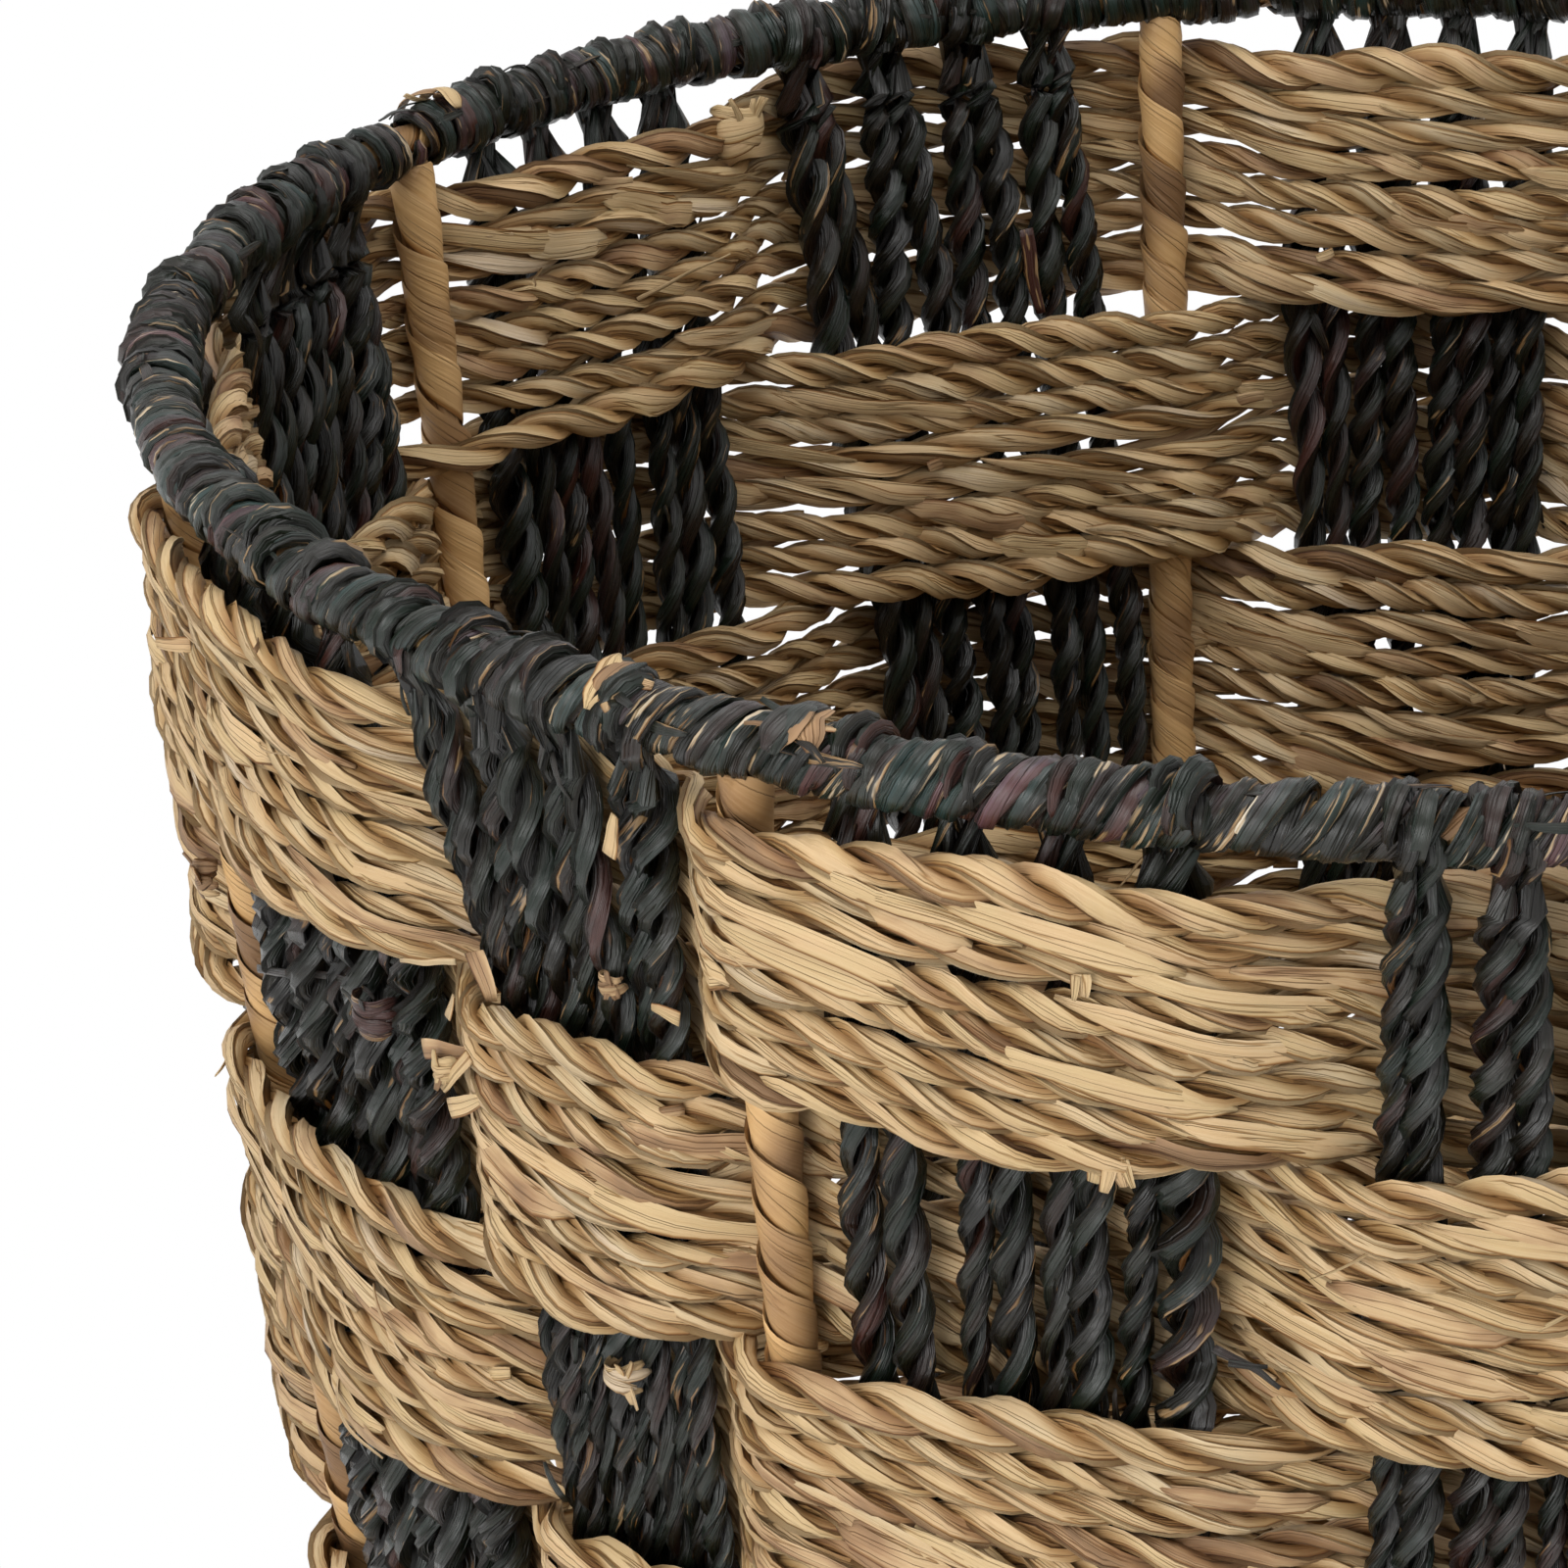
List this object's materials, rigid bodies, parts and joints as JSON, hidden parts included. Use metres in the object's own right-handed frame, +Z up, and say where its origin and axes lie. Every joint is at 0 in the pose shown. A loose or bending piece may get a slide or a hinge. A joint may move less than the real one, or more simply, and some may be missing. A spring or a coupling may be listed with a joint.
{
  "type": "seagrass basket",
  "caption": "Round tapering storage basket, woven in a check of natural seagrass bands and dark cord groups on a wire frame, with a dark wound rim.",
  "frame": {"origin": "centre of the base, on the surface that the basket stands on", "axes": "+Z up along the basket's axis through the open mouth; one post stands on +X, and the bays repeat round the axis"},
  "size_m": [0.4156, 0.4156, 0.415],
  "materials": {
    "natural_seagrass": "dry twisted grass cord with a low straw sheen",
    "dark_seagrass": "dyed grass cord, black green with a soft waxy sheen",
    "wire_ribbon": "flat grass ribbon wound over steel wire, smooth and slightly glossy"
  },
  "bodies": {
    "root": {"rim_hoop": "wire_ribbon", "base_hoop": "wire_ribbon", "base_cross": "wire_ribbon", "post_1": "wire_ribbon", "post_2": "wire_ribbon", "post_3": "wire_ribbon", "post_4": "wire_ribbon", "post_5": "wire_ribbon", "post_6": "wire_ribbon", "post_7": "wire_ribbon", "post_8": "wire_ribbon", "rim_wrap_01": "dark_seagrass", "rim_wrap_02": "dark_seagrass", "rim_wrap_03": "dark_seagrass", "rim_wrap_04": "dark_seagrass", "rim_wrap_05": "dark_seagrass", "rim_wrap_06": "dark_seagrass", "rim_wrap_07": "dark_seagrass", "rim_wrap_08": "dark_seagrass", "rim_wrap_09": "dark_seagrass", "rim_wrap_10": "dark_seagrass", "rim_wrap_11": "dark_seagrass", "rim_wrap_12": "dark_seagrass", "rim_wrap_13": "dark_seagrass", "rim_wrap_14": "dark_seagrass", "rim_wrap_15": "dark_seagrass", "rim_wrap_16": "dark_seagrass", "warp_group_01": "dark_seagrass", "warp_group_02": "dark_seagrass", "warp_group_03": "dark_seagrass", "warp_group_04": "dark_seagrass", "warp_group_05": "dark_seagrass", "warp_group_06": "dark_seagrass", "warp_group_07": "dark_seagrass", "warp_group_08": "dark_seagrass", "warp_group_09": "dark_seagrass", "warp_group_10": "dark_seagrass", "warp_group_11": "dark_seagrass", "warp_group_12": "dark_seagrass", "warp_group_13": "dark_seagrass", "warp_group_14": "dark_seagrass", "warp_group_15": "dark_seagrass", "warp_group_16": "dark_seagrass", "weft_band_1": "natural_seagrass", "weft_band_2": "natural_seagrass", "weft_band_3": "natural_seagrass", "weft_band_4": "natural_seagrass", "weft_band_5": "natural_seagrass", "weft_band_6": "natural_seagrass", "weft_band_7": "natural_seagrass", "weft_band_8": "natural_seagrass", "weft_band_9": "natural_seagrass", "base_panel": "natural_seagrass"}
  },
  "joints": []
}
